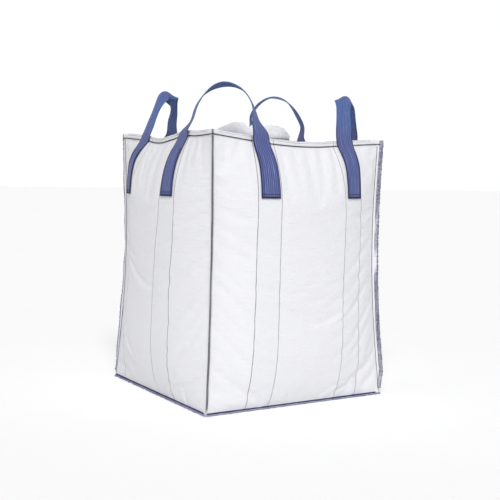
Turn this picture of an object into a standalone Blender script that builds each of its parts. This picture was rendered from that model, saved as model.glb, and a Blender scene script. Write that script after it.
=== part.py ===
"""Bulk bag: four bulging side panels, base, top with an open filling spout, four corner lifting loops.

Metres, +Z up, standing on its base with the middle of the base at the origin.
Side 0 is the front (-Y); sides 1, 2, 3 are the right, back and left, each a quarter turn on.
Corner 0 is the front left one; corners 1, 2, 3 follow counter-clockwise.
"""

import math

import bmesh
import bpy

SIDES = ("front", "right", "back", "left")
CORNERS = ("front_left", "front_right", "back_right", "back_left")

# Cloth of the body
FABRIC = 0.002
GAP = 0.0005
BASE_HALF = 0.460
RIM_HALF = 0.440
RIM_Z = 1.187
RIM_SAG = 0.030
RIM_FIN = 0.025
BULGE = 0.088
BULGE_POWER = 2.3
FOOT = 0.30
SHOULDER = 0.28
PULL = 0.020

# Sewn edges
FLANGE = 0.012
CORNER_FIN = 0.028
FLOOR_Z = 2.0 * FABRIC + GAP
FIN_SIDE = FABRIC + GAP / 2.0
THREAD = 0.002
STITCH = 0.0008

# Webbing of the lifting loops
STRAP_WIDTH = 0.085
STRAP = 0.0025
STRAP_OFF = 0.0025
LEG_BOTTOM = 0.925
LEG_DRIFT = ((0.0, 0.030), (0.0, 0.0), (0.0, 0.0), (-0.045, -0.031))
LEG_CURVE = 0.20
SPRING_Z = 1.212
HINGE_Z = 1.262
HINGE_R = 0.043
TWIST_Z = 0.085
LEG_TOP = 1.2165
LOOP_REACH = (0.250, 0.205, 0.250, 0.255)
LOOP_TOP = (1.430, 1.400, 1.430, 1.427)
TACK = 0.0006
TACK_HEIGHT = 0.055

# Filling spout
SPOUT_R = 0.197
SPOUT_SEAM_Z = 1.190
CUFF_BOTTOM = 1.176
CUFF_TOP = 1.272
LIP_R = 0.181
LIP_BOTTOM = 1.238
SLEEVE_R = 0.178
SLEEVE_BOTTOM = 0.970
SLEEVE_TOP = 1.262

# Mesh density
PANEL_COLUMNS = 12
PANEL_ROWS = 15
ARCH_ROWS = 21
STRAP_COLUMNS = 4
ROUND = 48


def material(name, rgb, roughness):
    made = bpy.data.materials.new(name)
    made.use_nodes = True
    shader = made.node_tree.nodes["Principled BSDF"]
    shader.inputs["Base Color"].default_value = (*rgb, 1.0)
    shader.inputs["Roughness"].default_value = roughness
    made.diffuse_color = (*rgb, 1.0)
    return made


def smooth(value):
    value = min(max(value, 0.0), 1.0)
    return value * value * (3.0 - 2.0 * value)


def turn(point, quarter):
    x, y, z = point
    if quarter % 4 == 1:
        return (-y, x, z)
    if quarter % 4 == 2:
        return (-x, -y, z)
    if quarter % 4 == 3:
        return (y, -x, z)
    return (x, y, z)


def half(z):
    share = min(max(z / RIM_Z, 0.0), 1.0)
    return BASE_HALF + (RIM_HALF - BASE_HALF) * share - PULL * math.sin(math.pi * share)


def sag(across):
    return RIM_SAG * (1.0 - min(abs(across), 1.0) ** 2)


def bulge(across, z):
    level = z * RIM_Z / (RIM_Z - sag(across))
    low = 1.0 - (1.0 - min(max((level - FLOOR_Z) / FOOT, 0.0), 1.0)) ** 2
    high = 1.0 - (1.0 - min(max((RIM_Z - level) / SHOULDER, 0.0), 1.0)) ** 2
    return BULGE * low * high * (1.0 - min(abs(across), 1.0) ** BULGE_POWER)


def corner_x(z):
    return half(z) - math.sqrt(2.0) * FIN_SIDE


def fin_length(z):
    return FLANGE * math.sqrt(2.0) + (CORNER_FIN - FLANGE * math.sqrt(2.0)) * smooth(z / 0.12)


def front_y(x, z):
    return -(half(z) + bulge(x / corner_x(z), z))


def finish(name, mesh, mat, origin, round_faces):
    item = bpy.data.objects.new(name, mesh)
    item.data.materials.append(mat)
    item.location = origin
    item["sub_part"] = name
    for face in mesh.polygons:
        face.use_smooth = round_faces
    BAG.objects.link(item)
    return item


def sheet(name, columns, rows, place, thickness, mat, origin=(0.0, 0.0, 0.0), round_faces=True):
    grid = bmesh.new()
    bmesh.ops.create_grid(grid, x_segments=columns, y_segments=rows, size=0.5)
    for vert in grid.verts:
        column = round((vert.co.x + 0.5) * columns)
        row = round((vert.co.y + 0.5) * rows)
        point = place(column, row)
        vert.co = [value - start for value, start in zip(point, origin)]
    bmesh.ops.remove_doubles(grid, verts=grid.verts, dist=0.00005)
    mesh = bpy.data.meshes.new(name)
    grid.to_mesh(mesh)
    grid.free()
    item = finish(name, mesh, mat, origin, round_faces)
    solid = item.modifiers.new("Thickness", "SOLIDIFY")
    solid.solidify_mode = "NON_MANIFOLD"
    solid.nonmanifold_thickness_mode = "CONSTRAINTS"
    solid.thickness = thickness
    solid.offset = -1.0
    return item


def thread(name, points, radius, mat):
    curve = bpy.data.curves.new(name, "CURVE")
    curve.dimensions = "3D"
    curve.bevel_depth = radius
    curve.bevel_resolution = 2
    curve.use_fill_caps = True
    line = curve.splines.new("POLY")
    line.points.add(len(points) - 1)
    for slot, point in zip(line.points, points):
        slot.co = (*point, 1.0)
    curve.materials.append(mat)
    item = bpy.data.objects.new(name, curve)
    item["sub_part"] = name
    BAG.objects.link(item)
    return item


def revolved(name, profile, thickness, mat, origin_z):
    shape = bmesh.new()
    ring = [shape.verts.new((radius, 0.0, z - origin_z)) for radius, z in profile]
    for first, second in zip(ring, ring[1:]):
        shape.edges.new((first, second))
    mesh = bpy.data.meshes.new(name)
    shape.to_mesh(mesh)
    shape.free()
    item = finish(name, mesh, mat, (0.0, 0.0, origin_z), True)
    screw = item.modifiers.new("Turn", "SCREW")
    screw.axis = "Z"
    screw.steps = ROUND
    screw.render_steps = ROUND
    screw.use_merge_vertices = True
    screw.merge_threshold = 0.0001
    screw.use_smooth_shade = True
    screw.use_normal_flip = True
    solid = item.modifiers.new("Thickness", "SOLIDIFY")
    solid.thickness = thickness
    solid.offset = -1.0
    solid.use_even_offset = True
    return item


def side_panel(quarter):
    last_row = PANEL_ROWS + 2
    last_column = PANEL_COLUMNS + 2

    def place(column, row):
        inner = min(max(column - 1, 0), PANEL_COLUMNS)
        across = 2.0 * inner / PANEL_COLUMNS - 1.0
        top = RIM_Z - sag(across)
        share = min(max((row - 1) / PANEL_ROWS, 0.0), 1.0)
        share = share - math.sin(2.0 * math.pi * share) * 0.055
        z = FLOOR_Z + (top - FLOOR_Z) * share
        x = across * corner_x(z)
        y = front_y(x, z)
        if row == last_row:
            z = top + RIM_FIN
        out = 0.0
        if column in (0, last_column) and row > 0:
            out = fin_length(z) / math.sqrt(2.0)
        if row == 0:
            out = FLANGE
            x = x + math.copysign(out, x) if abs(across) == 1.0 else x
            return turn((x, y - out, z), quarter)
        if column in (0, last_column):
            side = -1.0 if column == 0 else 1.0
            return turn((x + side * out, y - out, z), quarter)
        return turn((x, y, z), quarter)

    return sheet("side_panel_" + SIDES[quarter], last_column, last_row, place, FABRIC, CLOTH)


def base_panel():
    reach = BASE_HALF + FLANGE

    def place(column, row):
        return (reach * (2 * column - 1), reach * (2 * row - 1), FABRIC)

    return sheet("base_panel", 1, 1, place, FABRIC, CLOTH, round_faces=False)


def top_panel():
    edge = RIM_HALF - FABRIC - GAP
    hole = SPOUT_R + 0.0030
    per_side = ROUND // 4

    def place(column, row):
        quarter, step = divmod(column % ROUND, per_side)
        across = 2.0 * step / per_side - 1.0
        angle = math.radians(-135.0 + 90.0 * step / per_side)
        z = RIM_Z - sag(across)
        inset = half(z) - FABRIC - GAP
        if row == 6:
            return turn((across * edge, -inset, z + RIM_FIN), quarter)
        z = z + FABRIC
        share = (1.0, 0.8, 0.55, 0.3, 0.12, 0.0)[row]
        x = across * edge * (1.0 - share) + hole * math.cos(angle) * share
        y = -inset * (1.0 - share) + hole * math.sin(angle) * share
        z = z + (SPOUT_SEAM_Z - z) * smooth(share * 1.15)
        return turn((x, y, z), quarter)

    return sheet("top_panel", ROUND, 6, place, FABRIC, CLOTH)


def leg(quarter, side):
    corner = quarter if side < 0 else (quarter + 1) % 4
    place_name = SIDES[quarter] + "_near_" + CORNERS[corner]
    straight = side * (RIM_HALF - LOOP_REACH[corner])
    drift = LEG_DRIFT[quarter][int(side > 0)]
    rows = 10

    def middle(z):
        return straight + drift * smooth((LEG_TOP - z) / LEG_CURVE)

    def strap_place(column, row):
        z = LEG_BOTTOM + (LEG_TOP - LEG_BOTTOM) * row / rows
        x = middle(z) + STRAP_WIDTH * (column / STRAP_COLUMNS - 0.5)
        return turn((x, front_y(x, z) - STRAP_OFF * 1.1 - STRAP, z), quarter)

    def tack_place(column, row):
        z = LEG_BOTTOM + 0.008 + TACK_HEIGHT * row / 3
        x = middle(z) + (STRAP_WIDTH - 0.010) * (column / STRAP_COLUMNS - 0.5)
        lift = STRAP_OFF * 1.1 + STRAP * 1.15 + GAP + TACK
        return turn((x, front_y(x, z) - lift, z), quarter)

    sheet("loop_leg_" + place_name, STRAP_COLUMNS, rows, strap_place, STRAP, WEBBING)
    sheet("loop_tack_" + place_name, STRAP_COLUMNS, 3, tack_place, TACK, TACKING)


def arch(corner):
    root = math.sqrt(0.5)
    reach = LOOP_REACH[corner]
    foot = RIM_HALF + STRAP_OFF * 1.1 + STRAP
    centre = (reach - RIM_HALF - foot) / 2.0
    span = (reach - RIM_HALF + foot) * root
    rise = LOOP_TOP[corner] - SPRING_Z

    def point(angle, offset):
        height = SPRING_Z + rise * math.sin(angle)
        twist = math.radians(45.0) * smooth((height - SPRING_Z) / TWIST_Z)
        if angle > math.pi / 2.0:
            twist = math.pi / 2.0 - twist
        along = span * math.cos(angle)
        x = centre + root * along - offset * math.cos(twist)
        y = centre - root * along - offset * math.sin(twist)
        return (x, y, height)

    def from_axis(angle, offset):
        x, y, z = point(angle, offset)
        across = ((x - centre) + (y - centre)) * root
        return math.hypot(across, z - HINGE_Z)

    def start(offset, mirrored):
        low, high = 0.0, math.asin((HINGE_Z - SPRING_Z) / rise)
        for _ in range(40):
            middle = (low + high) / 2.0
            angle = math.pi - middle if mirrored else middle
            if from_axis(angle, offset) > HINGE_R:
                low = middle
            else:
                high = middle
        return high

    def place(column, row):
        offset = STRAP_WIDTH * (0.5 - column / STRAP_COLUMNS)
        first = start(offset, False)
        last = math.pi - start(offset, True)
        angle = first + (last - first) * row / ARCH_ROWS
        return turn(point(angle, offset), corner)

    name = "lifting_loop_" + CORNERS[corner]
    origin = turn((centre, centre, HINGE_Z), corner)
    return sheet(name, STRAP_COLUMNS, ARCH_ROWS, place, STRAP, WEBBING, origin=origin)


def corner_overlock(corner):
    points = []
    for step in range(17):
        z = 0.012 + (RIM_Z + RIM_FIN - 0.002 - 0.012) * step / 16
        out = half(z) - FIN_SIDE * math.sqrt(0.5) + (fin_length(z) + THREAD + 0.002) * math.sqrt(0.5)
        points.append(turn((-out, -out, z), corner))
    return thread("corner_overlock_" + CORNERS[corner], points, THREAD, CORNER_THREAD)


def base_overlock(quarter):
    y = -(BASE_HALF + FLANGE + THREAD + 0.0008)
    reach = BASE_HALF + FLANGE - 0.004
    points = [turn((reach * (step / 4.0 - 1.0), y, 0.0035), quarter) for step in range(9)]
    return thread("base_overlock_" + SIDES[quarter], points, THREAD, BASE_THREAD)


def rim_stitch(quarter):
    points = []
    for step in range(PANEL_COLUMNS + 1):
        across = 0.96 * (2.0 * step / PANEL_COLUMNS - 1.0)
        z = RIM_Z - sag(across) + 0.0025
        points.append(turn((across * corner_x(RIM_Z), -(RIM_HALF + 0.0003 + STITCH), z), quarter))
    return thread("rim_stitch_" + SIDES[quarter], points, STITCH, RIM_THREAD)


def spout():
    fold = (SPOUT_R + LIP_R) / 2.0
    bend = (SPOUT_R - LIP_R) / 2.0
    profile = [(SPOUT_R - 0.001, CUFF_BOTTOM), (SPOUT_R, 1.2), (SPOUT_R, 1.235)]
    for step in range(7):
        angle = math.pi * step / 6.0
        profile.append((fold + bend * math.cos(angle), CUFF_TOP - bend + bend * math.sin(angle)))
    profile.append((LIP_R, LIP_BOTTOM))
    revolved("filling_spout", profile, FABRIC, SPOUT_CLOTH, 0.0)

    tube = []
    for step in range(7):
        share = step / 6.0
        tube.append((SLEEVE_R - 0.014 * (1.0 - share) ** 2, SLEEVE_BOTTOM + (SLEEVE_TOP - SLEEVE_BOTTOM) * share))
    revolved("spout_sleeve", tube, FABRIC, SPOUT_CLOTH, SLEEVE_TOP)

    ring = []
    for step in range(ROUND + 1):
        angle = 2.0 * math.pi * step / ROUND
        radius = SPOUT_R + 0.0032
        ring.append((radius * math.cos(angle), radius * math.sin(angle)))
    seam = thread("spout_seam", [(x, y, SPOUT_SEAM_Z + FABRIC + 0.0030) for x, y in ring[:-1]], THREAD, BASE_THREAD)
    seam.data.splines[0].use_cyclic_u = True


for old in list(bpy.data.objects):
    bpy.data.objects.remove(old)

BAG = bpy.data.collections.new("bulk_bag")
bpy.context.scene.collection.children.link(BAG)
CLOTH = material("woven_fabric_white", (0.82, 0.82, 0.85), 0.75)
SPOUT_CLOTH = material("spout_fabric_white", (0.86, 0.86, 0.88), 0.7)
WEBBING = material("webbing_blue_violet", (0.16, 0.17, 0.42), 0.8)
TACKING = material("tack_thread_dark_blue", (0.05, 0.06, 0.18), 0.8)
CORNER_THREAD = material("corner_thread_charcoal", (0.05, 0.05, 0.07), 0.85)
BASE_THREAD = material("seam_thread_navy", (0.06, 0.07, 0.20), 0.85)
RIM_THREAD = material("rim_thread_black", (0.03, 0.03, 0.04), 0.85)

for number in range(4):
    side_panel(number)
    arch(number)
    corner_overlock(number)
    base_overlock(number)
    rim_stitch(number)
    leg(number, -1.0)
    leg(number, 1.0)
base_panel()
top_panel()
spout()
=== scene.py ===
"""Looks of the bulk bag: cloth panels, webbing loops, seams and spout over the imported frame."""

import math
from functools import partialmethod

import bmesh
import bpy
import numpy as np
from mathutils import Matrix, Vector


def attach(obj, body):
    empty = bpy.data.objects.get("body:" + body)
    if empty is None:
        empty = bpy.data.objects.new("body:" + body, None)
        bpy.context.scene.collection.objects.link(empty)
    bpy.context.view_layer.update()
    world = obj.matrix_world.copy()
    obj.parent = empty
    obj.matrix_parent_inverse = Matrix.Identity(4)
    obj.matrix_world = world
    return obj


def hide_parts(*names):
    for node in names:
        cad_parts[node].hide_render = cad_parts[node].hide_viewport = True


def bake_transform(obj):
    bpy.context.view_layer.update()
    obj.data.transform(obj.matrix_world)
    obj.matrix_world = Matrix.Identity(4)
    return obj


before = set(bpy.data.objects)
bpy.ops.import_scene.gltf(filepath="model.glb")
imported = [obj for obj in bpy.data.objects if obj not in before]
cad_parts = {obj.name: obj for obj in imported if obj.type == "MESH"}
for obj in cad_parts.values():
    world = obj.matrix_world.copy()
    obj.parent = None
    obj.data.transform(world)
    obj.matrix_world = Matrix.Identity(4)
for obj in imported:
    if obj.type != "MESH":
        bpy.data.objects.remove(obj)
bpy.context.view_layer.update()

SIDES = ("front", "right", "back", "left")
CORNERS = ("front_left", "front_right", "back_right", "back_left")

# Body of the bag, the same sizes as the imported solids
BASE_HALF = 0.467
RIM_HALF = 0.440
RIM_Z = 1.187
FLOOR_Z = 0.0075
FLANGE_EDGE_Z = 0.0030
BULGE = 0.088
FOOT = 0.30
SHOULDER = 0.28
PULL = 0.020
FLANGE = 0.006
CORNER_FIN = 0.028
RIM_FIN = 0.024
CLOTH = 0.0012

# Height of the rim stitching along each side, from its left corner to its right one
RIM_LINES = (
    ((-1.0, 1.191), (-0.55, 1.168), (-0.25, 1.155), (0.22, 1.151), (0.58, 1.162), (1.0, 1.174)),
    ((-1.0, 1.174), (-0.55, 1.160), (-0.20, 1.150), (0.20, 1.152), (0.55, 1.168), (1.0, 1.186)),
    ((-1.0, 1.186), (-0.55, 1.170), (-0.20, 1.156), (0.20, 1.153), (0.55, 1.172), (1.0, 1.194)),
    ((-1.0, 1.194), (-0.48, 1.178), (-0.12, 1.162), (0.16, 1.174), (0.42, 1.189), (0.70, 1.186), (1.0, 1.191)),
)

# Reinforced stripes: middle of each from a side's middle, in metres, by share of the height
STRIPES = (
    (((0.0, -0.202), (0.78, -0.187), (1.0, -0.187)),
     ((0.0, 0.237), (0.35, 0.262), (0.78, 0.274), (0.92, 0.256), (1.0, 0.238))),
    (((0.0, -0.230), (1.0, -0.235)), ((0.0, 0.200), (1.0, 0.190))),
    (((0.0, -0.195), (1.0, -0.190)), ((0.0, 0.190), (1.0, 0.185))),
    (((0.0, -0.388), (0.40, -0.352), (0.78, -0.314), (0.92, -0.240), (1.0, -0.190)),
     ((0.0, 0.098), (0.20, 0.123), (0.45, 0.122), (0.78, 0.158), (1.0, 0.176))),
)
STRIPE_HALF = 0.0545
# How much wider each side's stripes are low down, and where the cloth's own coordinates have their middle
STRIPE_FLARE = (0.0, 0.0, 0.0, 0.24)
STRIPE_AT = 0.25

# Webbing
STRAP_WIDTH = 0.090
RIB_PITCH = 0.0094
LEG_BOTTOM = 0.925
LOOP_REACH = (0.250, 0.200, 0.250, 0.255)
LOOP_TOP = (1.426, 1.400, 1.434, 1.425)
SPRING_Z = 1.205
# How far each side's left and right strap ends stand off straight, begun at DRIFT_TOP and whole LEG_CURVE below it
LEG_DRIFT = ((0.024, 0.037), (0.0, 0.0), (0.0, 0.0), (-0.108, -0.029))
LEG_CURVE = 0.175
DRIFT_TOP = 1.232

SPOUT_R = 0.197
SPOUT_CLOTH_THICKNESS = 0.0009

UP = np.array([0.0, 0.0, 1.0])
OUT = np.array([0.0, -1.0, 0.0])


def smooth(value):
    value = np.clip(value, 0.0, 1.0)
    return value * value * (3.0 - 2.0 * value)


def spline(points, at):
    """Smooth curve through (position, value) pairs."""
    xs = np.array([point[0] for point in points])
    ys = np.array([point[1] for point in points])
    slopes = np.gradient(ys, xs)
    at = np.clip(at, xs[0], xs[-1])
    index = np.clip(np.searchsorted(xs, at, side="right") - 1, 0, len(xs) - 2)
    step = xs[index + 1] - xs[index]
    t = (at - xs[index]) / step
    first = (1.0 + 2.0 * t) * (1.0 - t) ** 2 * ys[index]
    second = t * (1.0 - t) ** 2 * step * slopes[index]
    third = t * t * (3.0 - 2.0 * t) * ys[index + 1]
    fourth = t * t * (t - 1.0) * step * slopes[index + 1]
    return first + second + third + fourth


def turn(points, quarter):
    """Turn an array of points about the bag's axis by whole quarters."""
    x, y, z = points[..., 0], points[..., 1], points[..., 2]
    pairs = ((x, y), (-y, x), (-x, -y), (y, -x))
    new_x, new_y = pairs[quarter % 4]
    return np.stack([new_x, new_y, z], axis=-1)


def half(level):
    share = np.clip(level, 0.0, 1.0)
    return BASE_HALF + (RIM_HALF - BASE_HALF) * share - PULL * np.sin(np.pi * share)


def bulge(across, level):
    height = level * RIM_Z
    low = 1.0 - (1.0 - np.clip(height / FOOT, 0.0, 1.0)) ** 2
    high = 1.0 - (1.0 - np.clip((RIM_Z - height) / SHOULDER, 0.0, 1.0)) ** 2
    return BULGE * low * high * (1.0 - np.abs(np.clip(across, -1.0, 1.0)) ** 2.3)


def corner_x(level):
    return half(level) - 0.0028


def rim_z(quarter, across):
    return spline(RIM_LINES[quarter], across)


def side_surface(quarter, across, level):
    """Outside of a side, from its left corner (-1) to its right (1) and floor (0) to rim stitching (1)."""
    across, level = np.broadcast_arrays(np.asarray(across, float), np.asarray(level, float))
    top = rim_z(quarter, across)
    z = FLOOR_Z + (top - FLOOR_Z) * level
    x = across * corner_x(level)
    y = -(half(level) + bulge(across, level))
    return np.stack([x, y, z], axis=-1)


def ripples(x, y, seed, scale, octaves=3):
    """Repeatable smooth noise made of crossed waves, about -1 to 1."""
    rng = np.random.default_rng(seed)
    total = np.zeros(np.broadcast(x, y).shape)
    weight = 1.0
    for _ in range(octaves):
        for _ in range(5):
            angle = rng.uniform(0.0, 2.0 * math.pi)
            phase = rng.uniform(0.0, 2.0 * math.pi)
            length = scale * rng.uniform(0.7, 1.4)
            total = total + weight * np.sin((x * math.cos(angle) + y * math.sin(angle)) / length * 2 * math.pi + phase)
        weight *= 0.5
        scale *= 0.5
    return total / 6.0


def add_object(name, data):
    item = bpy.data.objects.new(name, data)
    bpy.context.scene.collection.objects.link(item)
    return item


def new_mesh(name, points, faces, mat, body="bag", flat=None):
    """Smooth mesh that rides on a body; flat holds the cloth's own coordinates for its weave."""
    mesh = bpy.data.meshes.new(name)
    mesh.from_pydata([tuple(point) for point in points.reshape(-1, 3)], [], faces)
    mesh.update()
    mesh.polygons.foreach_set("use_smooth", [True] * len(mesh.polygons))
    if flat is not None:
        layer = mesh.attributes.new("flat", "FLOAT_VECTOR", "POINT")
        layer.data.foreach_set("vector", np.asarray(flat, np.float32).ravel())
    mesh.materials.append(mat)
    item = add_object(name, mesh)
    if body:
        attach(item, body)
    return item


def grid_faces(rows, columns, wrap=False):
    faces = []
    last = columns if wrap else columns - 1
    for row in range(rows - 1):
        for column in range(last):
            after = (column + 1) % columns
            faces.append((row * columns + column, row * columns + after,
                          (row + 1) * columns + after, (row + 1) * columns + column))
    return faces


def thicken(item, thickness, offset=-1.0):
    solid = item.modifiers.new("Thickness", "SOLIDIFY")
    solid.thickness = thickness
    solid.offset = offset
    solid.use_even_offset = True
    solid.use_rim = True


def apply_modifiers(item):
    bpy.context.view_layer.update()
    graph = bpy.context.evaluated_depsgraph_get()
    done = bpy.data.meshes.new_from_object(item.evaluated_get(graph))
    old = item.data
    item.modifiers.clear()
    item.data = done
    bpy.data.meshes.remove(old)


# Materials


class Graph:
    """Node tree of a material or world; a value is a number, a tuple or another node's output."""

    def __init__(self, owner):
        owner.use_nodes = True
        self.tree = owner.node_tree

    def feed(self, socket, value):
        if isinstance(value, (int, float, tuple)):
            socket.default_value = value
        else:
            self.tree.links.new(value, socket)

    def node(self, kind, values=(), output=0, **settings):
        node = self.tree.nodes.new("ShaderNode" + kind)
        for name, value in settings.items():
            setattr(node, name, value)
        for socket, value in values:
            self.feed(node.inputs[socket], value)
        return node.outputs[output]

    def math(self, operation, *values):
        return self.node("Math", enumerate(values), operation=operation)

    plus = partialmethod(math, "ADD")
    minus = partialmethod(math, "SUBTRACT")
    times = partialmethod(math, "MULTIPLY")
    scaled = partialmethod(math, "MULTIPLY_ADD")
    absolute = partialmethod(math, "ABSOLUTE")

    def wave(self, value, period):
        return self.math("SINE", self.times(value, 2.0 * math.pi / period))

    def step(self, value, low, high):
        values = (("From Min", low), ("From Max", high), ("Value", value))
        return self.node("MapRange", values, "Result", interpolation_type="SMOOTHSTEP")

    def mix(self, factor, *colours):
        first, second = ((*colour, 1.0) if isinstance(colour, tuple) else colour for colour in colours)
        return self.node("Mix", ((0, factor), (6, first), (7, second)), 2, data_type="RGBA")

    def noise(self, vector, scale, detail=2.0, roughness=0.5):
        values = (("Scale", scale), ("Detail", detail), ("Roughness", roughness), ("Vector", vector))
        return self.node("TexNoise", values, "Fac")

    def stretch(self, vector, scale):
        return self.node("Mapping", (("Scale", scale), ("Vector", vector)), "Vector")

    def split(self, vector):
        node = self.tree.nodes.new("ShaderNodeSeparateXYZ")
        self.feed(node.inputs[0], vector)
        return tuple(node.outputs)

    def flat(self):
        """The cloth's own coordinates, as a vector and as its three parts."""
        vector = self.node("Attribute", output="Vector", attribute_name="flat")
        return vector, *self.split(vector)


class Surface(Graph):
    """A material's node tree, with its shader's sockets."""

    def __init__(self, name, roughness, specular):
        self.mat = bpy.data.materials.new(name)
        super().__init__(self.mat)
        self.inputs = self.tree.nodes["Principled BSDF"].inputs
        self.inputs["Roughness"].default_value = roughness
        self.inputs["Specular IOR Level"].default_value = specular

    def finished(self, colour, height=None, distance=0.0, strength=1.0):
        self.feed(self.inputs["Base Color"], colour)
        if height is not None:
            values = (("Distance", distance), ("Strength", strength), ("Height", height))
            self.feed(self.inputs["Normal"], self.node("Bump", values, "Normal"))
        return self.mat


def woven(name, tint, marked, pitch=0.0024):
    """Plain weave of flat plastic tape; marked cloth has two reinforced stripes with dark marker yarns."""
    g = Surface(name, 0.58, 0.3)
    vector, across, along, _ = g.flat()
    warp = g.wave(across, 2.0 * pitch)
    weft = g.wave(along, 2.0 * pitch)
    ridge_u = g.absolute(warp)
    ridge_v = g.absolute(weft)
    is_over = g.math("GREATER_THAN", g.times(warp, weft), 0.0)
    height = g.plus(ridge_v, g.times(is_over, g.minus(ridge_u, ridge_v)))
    tape_u = g.noise(g.stretch(vector, (420.0, 6.0, 1.0)), 1.0, 1.0)
    tape_v = g.noise(g.stretch(vector, (6.0, 420.0, 1.0)), 1.0, 1.0)
    # Painted shade: the low spots between the tapes, where warp and weft cross, are darkened
    gap_shade = g.math("LESS_THAN", g.math("MAXIMUM", ridge_u, ridge_v), 0.30)
    shade = tint
    for mask, share, dark in ((tape_u, 0.55, 0.90), (tape_v, 0.45, 0.93), (gap_shade, 0.35, 0.62)):
        shade = g.mix(g.times(mask, share), shade, tuple(c * dark for c in tint))
    cloud = g.noise(vector, 5.0, 4.0, 0.6)
    shade = g.mix(g.times(cloud, 0.22), shade, (0.70, 0.71, 0.78))
    if marked:
        side = g.minus(g.absolute(across), STRIPE_AT)
        reach = g.absolute(side)
        inside = g.math("LESS_THAN", reach, STRIPE_HALF)
        fine = g.times(inside, g.scaled(g.wave(side, 0.0085), 0.5, 0.5))
        shade = g.mix(g.times(fine, 0.16), shade, (0.52, 0.54, 0.62))
        yarn = g.math("LESS_THAN", g.absolute(g.minus(reach, STRIPE_HALF)), 0.0017)
        wear = g.scaled(g.noise(g.stretch(vector, (1.0, 14.0, 1.0)), 2.0), 0.5, 0.42)
        shade = g.mix(g.times(yarn, wear), shade, (0.10, 0.10, 0.11))
        height = g.plus(height, g.times(fine, 0.8))
    crease = g.absolute(g.minus(g.noise(g.stretch(vector, (16.0, 34.0, 1.0)), 1.0, 3.0, 0.6), 0.5))
    height = g.plus(height, g.times(g.step(crease, 0.0, 0.16), 3.2))
    g.feed(g.inputs["Roughness"], g.scaled(tape_u, 0.20, 0.46))
    g.inputs["Sheen Weight"].default_value = 0.08
    return g.finished(shade, height, 0.00028, 0.8)


def webbing():
    """Ribbed webbing: blue-violet with lighter lengthwise threads, dark sewn edges, painted shade between the ribs and
    a painted bluish highlight on the loop arches.
    """
    g = Surface("webbing", 0.72, 0.25)
    vector, across, along, end = g.flat()
    lift = g.wave(across, RIB_PITCH)
    ribs = g.scaled(lift, 0.5, 0.5)
    twill = g.wave(g.plus(along, g.times(g.absolute(lift), 0.0016)), 0.0030)
    streak = g.noise(g.stretch(vector, (330.0, 9.0, 1.0)), 1.0, 3.0, 0.7)
    light = g.times(g.step(streak, 0.50, 0.72), g.scaled(ribs, 0.5, 0.25))
    patch = g.noise(vector, 16.0, 3.0)
    # Loop arches: a painted bluish highlight, lighter and bluer than the legs of the same webbing
    loop = g.step(end, 0.29, 0.38)
    edge = g.step(g.absolute(across), 0.0385, 0.0425)
    # Edge colour: dark navy on the sewn legs, the painted bluish highlight on the loop arches
    rim = g.mix(loop, (0.014, 0.014, 0.055), (0.030, 0.140, 0.350))
    # A near-black band at each strap end
    end_band = g.minus(1.0, g.step(end, 0.0040, 0.0065))
    # Painted shade and highlight: darker between the ribs, lighter on their crests
    shade = g.mix(ribs, (0.040, 0.052, 0.150), (0.102, 0.140, 0.345))
    shade = g.mix(light, shade, (0.36, 0.44, 0.70))
    # The loop mask here lays the painted bluish highlight over the arches
    for mask, share, colour in ((patch, 0.35, (0.085, 0.088, 0.270)), (loop, 0.35, (0.050, 0.130, 0.360)),
                                (edge, 0.85, rim), (end_band, 0.9, (0.010, 0.011, 0.045))):
        shade = g.mix(g.times(mask, share), shade, colour)
    g.inputs["Sheen Weight"].default_value = 0.10
    return g.finished(shade, g.plus(ribs, g.times(twill, 0.30)), 0.0006, 0.8)


def thread_material(name, dark, light):
    g = Surface(name, 0.62, 0.3)
    place = g.node("TexCoord", output="Object")
    fibres = g.noise(place, 900.0)
    shade = g.mix(g.times(fibres, 0.8), dark, light)
    shade = g.mix(g.times(g.noise(place, 45.0, 3.0), 0.5), shade, dark)
    return g.finished(shade, fibres, 0.0002, 0.6)


WHITE = (0.765, 0.765, 0.79)
PANEL_CLOTH = woven("woven_panel", WHITE, True)
PLAIN_CLOTH = woven("woven_plain", WHITE, False)
SPOUT_CLOTH = woven("woven_spout", (0.80, 0.80, 0.84), False, 0.0018)
WEBBING = webbing()
CHARCOAL = thread_material("thread_charcoal", (0.045, 0.045, 0.052), (0.17, 0.17, 0.19))
NAVY = thread_material("thread_navy", (0.012, 0.014, 0.060), (0.05, 0.06, 0.19))
VIOLET = thread_material("thread_violet", (0.045, 0.042, 0.15), (0.26, 0.26, 0.48))
SKY = thread_material("thread_pale_blue", (0.14, 0.17, 0.42), (0.62, 0.68, 0.86))
PALE = thread_material("thread_pale_grey", (0.36, 0.38, 0.44), (0.72, 0.74, 0.78))
BLACK = thread_material("thread_black", (0.012, 0.012, 0.014), (0.06, 0.06, 0.07))


# Camera, light and floor


def camera():
    data = bpy.data.cameras.new("camera")
    data.lens = 69.055
    data.sensor_width = 36.0
    item = add_object("camera", data)
    right = (0.851357, -0.524308, 0.017082)
    up = (0.026134, 0.074914, 0.996848)
    back = (-0.523935, -0.848227, 0.077481)
    place = (-2.420972, -3.961091, 1.022408)
    item.matrix_world = Matrix((*zip(right, up, back, place), (0.0, 0.0, 0.0, 1.0)))
    bpy.context.scene.camera = item


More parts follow.
